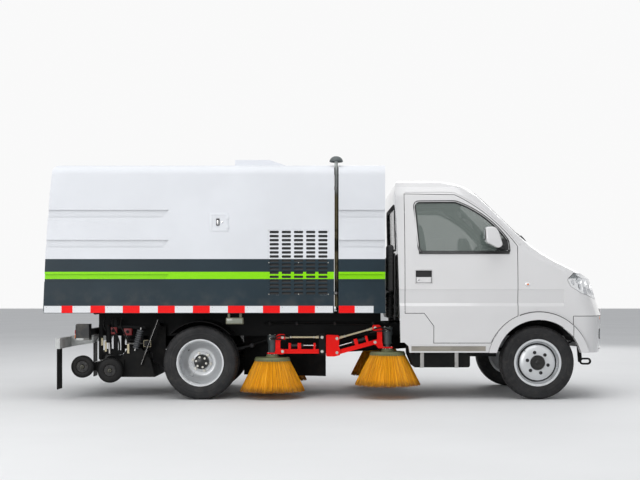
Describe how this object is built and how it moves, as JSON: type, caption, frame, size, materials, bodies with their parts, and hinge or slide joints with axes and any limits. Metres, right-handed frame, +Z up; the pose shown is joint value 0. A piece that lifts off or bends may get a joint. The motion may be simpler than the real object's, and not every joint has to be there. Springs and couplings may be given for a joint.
{
  "type": "street sweeper truck",
  "caption": "Small street sweeper truck with a light cab, twin rear wheels, a tipping hopper, a water tank, side brushes on lifting arms and a suction head between guard and axle",
  "frame": {"origin": "on the ground, under the middle of the overall length and width", "axes": "+X forward, +Y to the vehicle's left, +Z up"},
  "size_m": [4.9138, 1.91, 2.1239],
  "materials": {
    "black_paint": "black chassis paint",
    "black_plastic": "moulded black plastic",
    "box_paint": "white paint above, slate grey below",
    "bright_steel": "hard chromed rod",
    "brush_fibre": "orange polypropylene bristles under a grey disc",
    "cab_paint": "silver white paint",
    "cloth": "woven grey cloth",
    "cream_paint": "cream enamel",
    "engine_metal": "dull casting",
    "glass": "tinted glass",
    "grey_metal": "painted casting",
    "grey_paint": "light grey enamel",
    "lamp": "clear lamp lens",
    "red_paint": "red enamel",
    "rubber": "black rubber",
    "steel": "plain steel",
    "tyre": "rubber tyre",
    "wheel_paint": "silver wheel paint"
  },
  "bodies": {
    "chassis": {"frame": "black_paint", "rear_axle": "black_paint", "front_axle": "black_paint", "engine_block": "engine_metal", "fuel_tank": "black_paint", "splash_guards": "black_plastic", "rear_guard": "grey_paint", "brush_brackets": "red_paint", "cab_shell": "cab_paint", "front_bumper": "cab_paint", "front_grille": "black_plastic", "headlights": "lamp", "cab_glass": "glass", "dashboard": "black_plastic", "seats": "cloth", "water_tank": "box_paint", "auxiliary_engine": "engine_metal", "suction_nozzle": "black_paint"},
    "steering_wheel": {"steering_wheel": "black_plastic"},
    "bonnet": {"bonnet": "cab_paint"},
    "hopper": {"hopper_shell": "box_paint", "vent_panels": "box_paint", "exhaust_stack": "steel"},
    "tailgate": {"tailgate": "box_paint"},
    "tip_cylinder": {"tip_cylinder": "black_paint"},
    "tip_rod": {"tip_rod": "bright_steel"},
    "nozzle_front_wheels": {"nozzle_front_wheels": "rubber"},
    "nozzle_rear_wheels": {"nozzle_rear_wheels": "rubber"},
    "front_knuckle_left": {"steering_knuckle_left": "engine_metal"},
    "front_wheel_left": {"front_tyre_left": "tyre", "front_rim_left": "wheel_paint"},
    "rear_wheels_left": {"rear_tyres_left": "tyre", "rear_rims_left": "wheel_paint"},
    "door_left": {"door_left": "cab_paint", "door_glass_left": "glass", "mirror_left": "cab_paint"},
    "front_left_arm": {"front_left_arm": "red_paint"},
    "front_left_rod": {"front_left_rod": "cream_paint"},
    "front_left_head": {"front_left_head": "grey_metal"},
    "front_left_brush": {"front_left_brush": "brush_fibre"},
    "rear_left_arm": {"rear_left_arm": "red_paint"},
    "rear_left_rod": {"rear_left_rod": "cream_paint"},
    "rear_left_head": {"rear_left_head": "grey_metal"},
    "rear_left_brush": {"rear_left_brush": "brush_fibre"},
    "front_knuckle_right": {"steering_knuckle_right": "engine_metal"},
    "front_wheel_right": {"front_tyre_right": "tyre", "front_rim_right": "wheel_paint"},
    "rear_wheels_right": {"rear_tyres_right": "tyre", "rear_rims_right": "wheel_paint"},
    "door_right": {"door_right": "cab_paint", "door_glass_right": "glass", "mirror_right": "cab_paint"},
    "front_right_arm": {"front_right_arm": "red_paint"},
    "front_right_rod": {"front_right_rod": "cream_paint"},
    "front_right_head": {"front_right_head": "grey_metal"},
    "front_right_brush": {"front_right_brush": "brush_fibre"},
    "rear_right_arm": {"rear_right_arm": "red_paint"},
    "rear_right_rod": {"rear_right_rod": "cream_paint"},
    "rear_right_head": {"rear_right_head": "grey_metal"},
    "rear_right_brush": {"rear_right_brush": "brush_fibre"}
  },
  "joints": [
    {"name": "steering_wheel_turn", "type": "hinge", "parent": "chassis", "child": "steering_wheel", "pos_m": [1.37, 0.36, 1.23], "axis": [-0.8601, 0, 0.5101], "range_deg": [-482, 482]},
    {"name": "bonnet_lift", "type": "hinge", "parent": "chassis", "child": "bonnet", "pos_m": [1.88, 0, 1.305], "axis": [0, -1, 0], "range_deg": [0, 50]},
    {"name": "hopper_tip", "type": "hinge", "parent": "chassis", "child": "hopper", "pos_m": [-2.11, 0, 0.742], "axis": [0, -1, 0], "range_deg": [0, 40]},
    {"name": "tailgate_swing", "type": "hinge", "parent": "hopper", "child": "tailgate", "pos_m": [-2.3827, 0, 1.93], "axis": [0, 1, 0], "range_deg": [0, 80]},
    {"name": "tip_cylinder_swing", "type": "hinge", "parent": "chassis", "child": "tip_cylinder", "pos_m": [-0.25, 0, 0.56], "axis": [0, 1, 0], "range_deg": [0, 24]},
    {"name": "tip_rod_extend", "type": "slide", "parent": "tip_cylinder", "child": "tip_rod", "axis": [-0.9876, 0, 0.1571], "range_m": [0, 0.37]},
    {"name": "nozzle_front_wheels_roll", "type": "hinge", "parent": "chassis", "child": "nozzle_front_wheels", "pos_m": [-1.938, 0, 0.24], "axis": [0, 1, 0], "continuous": true},
    {"name": "nozzle_rear_wheels_roll", "type": "hinge", "parent": "chassis", "child": "nozzle_rear_wheels", "pos_m": [-2.179, 0, 0.273], "axis": [0, 1, 0], "continuous": true},
    {"name": "steering_left", "type": "hinge", "parent": "chassis", "child": "front_knuckle_left", "pos_m": [1.768, 0.595, 0.317], "axis": [0, 0, 1], "range_deg": [-32, 32]},
    {"name": "front_wheel_left_roll", "type": "hinge", "parent": "front_knuckle_left", "child": "front_wheel_left", "pos_m": [1.768, 0.69, 0.317], "axis": [0, 1, 0], "continuous": true},
    {"name": "rear_wheels_left_roll", "type": "hinge", "parent": "chassis", "child": "rear_wheels_left", "pos_m": [-1.132, 0.6025, 0.317], "axis": [0, 1, 0], "continuous": true},
    {"name": "door_left_swing", "type": "hinge", "parent": "chassis", "child": "door_left", "pos_m": [1.588, 0.812, 0.9], "axis": [0, 0, -1], "range_deg": [0, 65]},
    {"name": "front_left_arm_lift", "type": "hinge", "parent": "chassis", "child": "front_left_arm", "pos_m": [0.045, 0.59, 0.395], "axis": [0, -1, 0], "range_deg": [-15.5, 5]},
    {"name": "front_left_rod_swing", "type": "hinge", "parent": "chassis", "child": "front_left_rod", "pos_m": [0.045, 0.59, 0.519], "axis": [0, -1, 0], "range_deg": [-15.5, 5]},
    {"name": "front_left_head_level", "type": "hinge", "parent": "front_left_arm", "child": "front_left_head", "pos_m": [0.37745, 0.59, 0.4872], "axis": [0, -1, 0], "range_deg": [-5, 15.5]},
    {"name": "front_left_brush_spin", "type": "hinge", "parent": "front_left_head", "child": "front_left_brush", "pos_m": [0.48845, 0.59, 0.3], "axis": [0, 0, 1], "continuous": true},
    {"name": "rear_left_arm_lift", "type": "hinge", "parent": "chassis", "child": "rear_left_arm", "pos_m": [-0.085, 0.59, 0.406], "axis": [0, 1, 0], "range_deg": [-6, 14]},
    {"name": "rear_left_rod_swing", "type": "hinge", "parent": "chassis", "child": "rear_left_rod", "pos_m": [-0.085, 0.59, 0.53], "axis": [0, 1, 0], "range_deg": [-6, 14]},
    {"name": "rear_left_head_level", "type": "hinge", "parent": "rear_left_arm", "child": "rear_left_head", "pos_m": [-0.43, 0.59, 0.406], "axis": [0, 1, 0], "range_deg": [-14, 6]},
    {"name": "rear_left_brush_spin", "type": "hinge", "parent": "rear_left_head", "child": "rear_left_brush", "pos_m": [-0.52, 0.59, 0.3], "axis": [0, 0, 1], "continuous": true},
    {"name": "steering_right", "type": "hinge", "parent": "chassis", "child": "front_knuckle_right", "pos_m": [1.768, -0.595, 0.317], "axis": [0, 0, 1], "range_deg": [-32, 32]},
    {"name": "front_wheel_right_roll", "type": "hinge", "parent": "front_knuckle_right", "child": "front_wheel_right", "pos_m": [1.768, -0.69, 0.317], "axis": [0, 1, 0], "continuous": true},
    {"name": "rear_wheels_right_roll", "type": "hinge", "parent": "chassis", "child": "rear_wheels_right", "pos_m": [-1.132, -0.6025, 0.317], "axis": [0, 1, 0], "continuous": true},
    {"name": "door_right_swing", "type": "hinge", "parent": "chassis", "child": "door_right", "pos_m": [1.588, -0.812, 0.9], "axis": [0, 0, 1], "range_deg": [0, 65]},
    {"name": "front_right_arm_lift", "type": "hinge", "parent": "chassis", "child": "front_right_arm", "pos_m": [0.045, -0.59, 0.395], "axis": [0, -1, 0], "range_deg": [-15.5, 5]},
    {"name": "front_right_rod_swing", "type": "hinge", "parent": "chassis", "child": "front_right_rod", "pos_m": [0.045, -0.59, 0.519], "axis": [0, -1, 0], "range_deg": [-15.5, 5]},
    {"name": "front_right_head_level", "type": "hinge", "parent": "front_right_arm", "child": "front_right_head", "pos_m": [0.37745, -0.59, 0.4872], "axis": [0, -1, 0], "range_deg": [-5, 15.5]},
    {"name": "front_right_brush_spin", "type": "hinge", "parent": "front_right_head", "child": "front_right_brush", "pos_m": [0.48845, -0.59, 0.3], "axis": [0, 0, 1], "continuous": true},
    {"name": "rear_right_arm_lift", "type": "hinge", "parent": "chassis", "child": "rear_right_arm", "pos_m": [-0.085, -0.59, 0.406], "axis": [0, 1, 0], "range_deg": [-6, 14]},
    {"name": "rear_right_rod_swing", "type": "hinge", "parent": "chassis", "child": "rear_right_rod", "pos_m": [-0.085, -0.59, 0.53], "axis": [0, 1, 0], "range_deg": [-6, 14]},
    {"name": "rear_right_head_level", "type": "hinge", "parent": "rear_right_arm", "child": "rear_right_head", "pos_m": [-0.43, -0.59, 0.406], "axis": [0, 1, 0], "range_deg": [-14, 6]},
    {"name": "rear_right_brush_spin", "type": "hinge", "parent": "rear_right_head", "child": "rear_right_brush", "pos_m": [-0.52, -0.59, 0.3], "axis": [0, 0, 1], "continuous": true}
  ],
  "couplings": [
    {"joint": "tip_cylinder_swing", "follows": "hopper_tip", "ratio": 0.50746},
    {"joint": "tip_rod_extend", "follows": "hopper_tip", "m_per_rad": 0.49786},
    {"joint": "steering_right", "follows": "steering_left", "ratio": 1},
    {"joint": "steering_wheel_turn", "follows": "steering_left", "ratio": 15},
    {"joint": "front_left_rod_swing", "follows": "front_left_arm_lift", "ratio": 1},
    {"joint": "front_left_head_level", "follows": "front_left_arm_lift", "ratio": -1},
    {"joint": "rear_left_rod_swing", "follows": "rear_left_arm_lift", "ratio": 1},
    {"joint": "rear_left_head_level", "follows": "rear_left_arm_lift", "ratio": -1},
    {"joint": "front_right_rod_swing", "follows": "front_right_arm_lift", "ratio": 1},
    {"joint": "front_right_head_level", "follows": "front_right_arm_lift", "ratio": -1},
    {"joint": "rear_right_rod_swing", "follows": "rear_right_arm_lift", "ratio": 1},
    {"joint": "rear_right_head_level", "follows": "rear_right_arm_lift", "ratio": -1}
  ]
}
